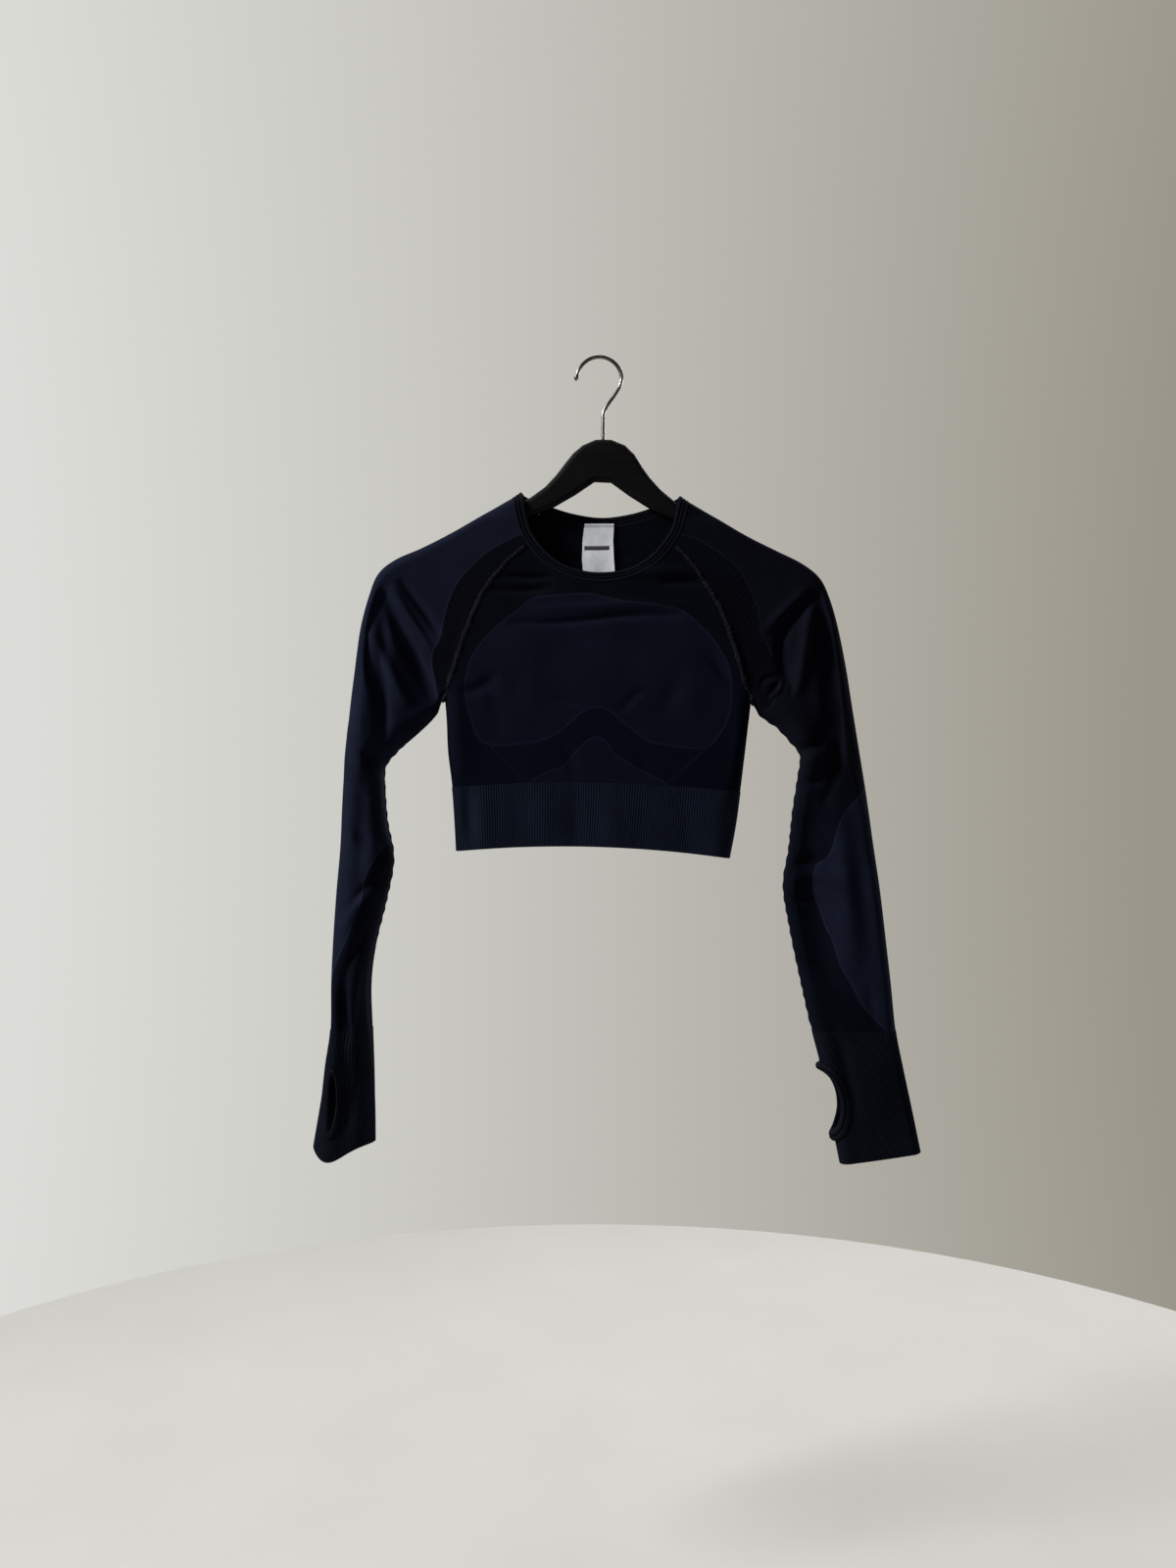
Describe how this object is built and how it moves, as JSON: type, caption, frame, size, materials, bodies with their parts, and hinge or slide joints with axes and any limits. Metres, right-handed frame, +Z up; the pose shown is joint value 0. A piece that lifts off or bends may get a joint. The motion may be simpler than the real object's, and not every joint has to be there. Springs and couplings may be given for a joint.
{
  "type": "long-sleeve crop top on hanger",
  "caption": "Long-sleeve raglan crop top in seamless knit with a ribbed hem band, ribbed cuffs with thumb holes and a bound round neck, hanging on a flat hanger with a wire hook.",
  "frame": {"origin": "the inner top of the hook's arc, where it rests on the pin", "axes": "+Z up, -Y out of the front of the top, +X to the right of a viewer who faces the front"},
  "size_m": [0.6413, 0.0696, 0.8576],
  "materials": {
    "knit_body": "matt seamless knit, black navy",
    "knit_rib": "fine vertical rib, black navy",
    "knit_sleeve": "matt seamless knit with small mesh zones, black navy",
    "binding": "folded knit strip, near black",
    "satin": "white satin ribbon",
    "hanger_black": "matt black",
    "steel_wire": "bright steel wire"
  },
  "bodies": {
    "root": {"body": "knit_body", "hem_band": "knit_rib", "sleeve_left": "knit_sleeve", "sleeve_right": "knit_sleeve", "cuff_left": "knit_rib", "cuff_right": "knit_rib", "neckband": "binding", "thumb_binding_left": "binding", "thumb_binding_right": "binding", "label": "satin", "hanger": "hanger_black", "hook": "steel_wire", "hook_ball": "steel_wire"}
  },
  "joints": []
}
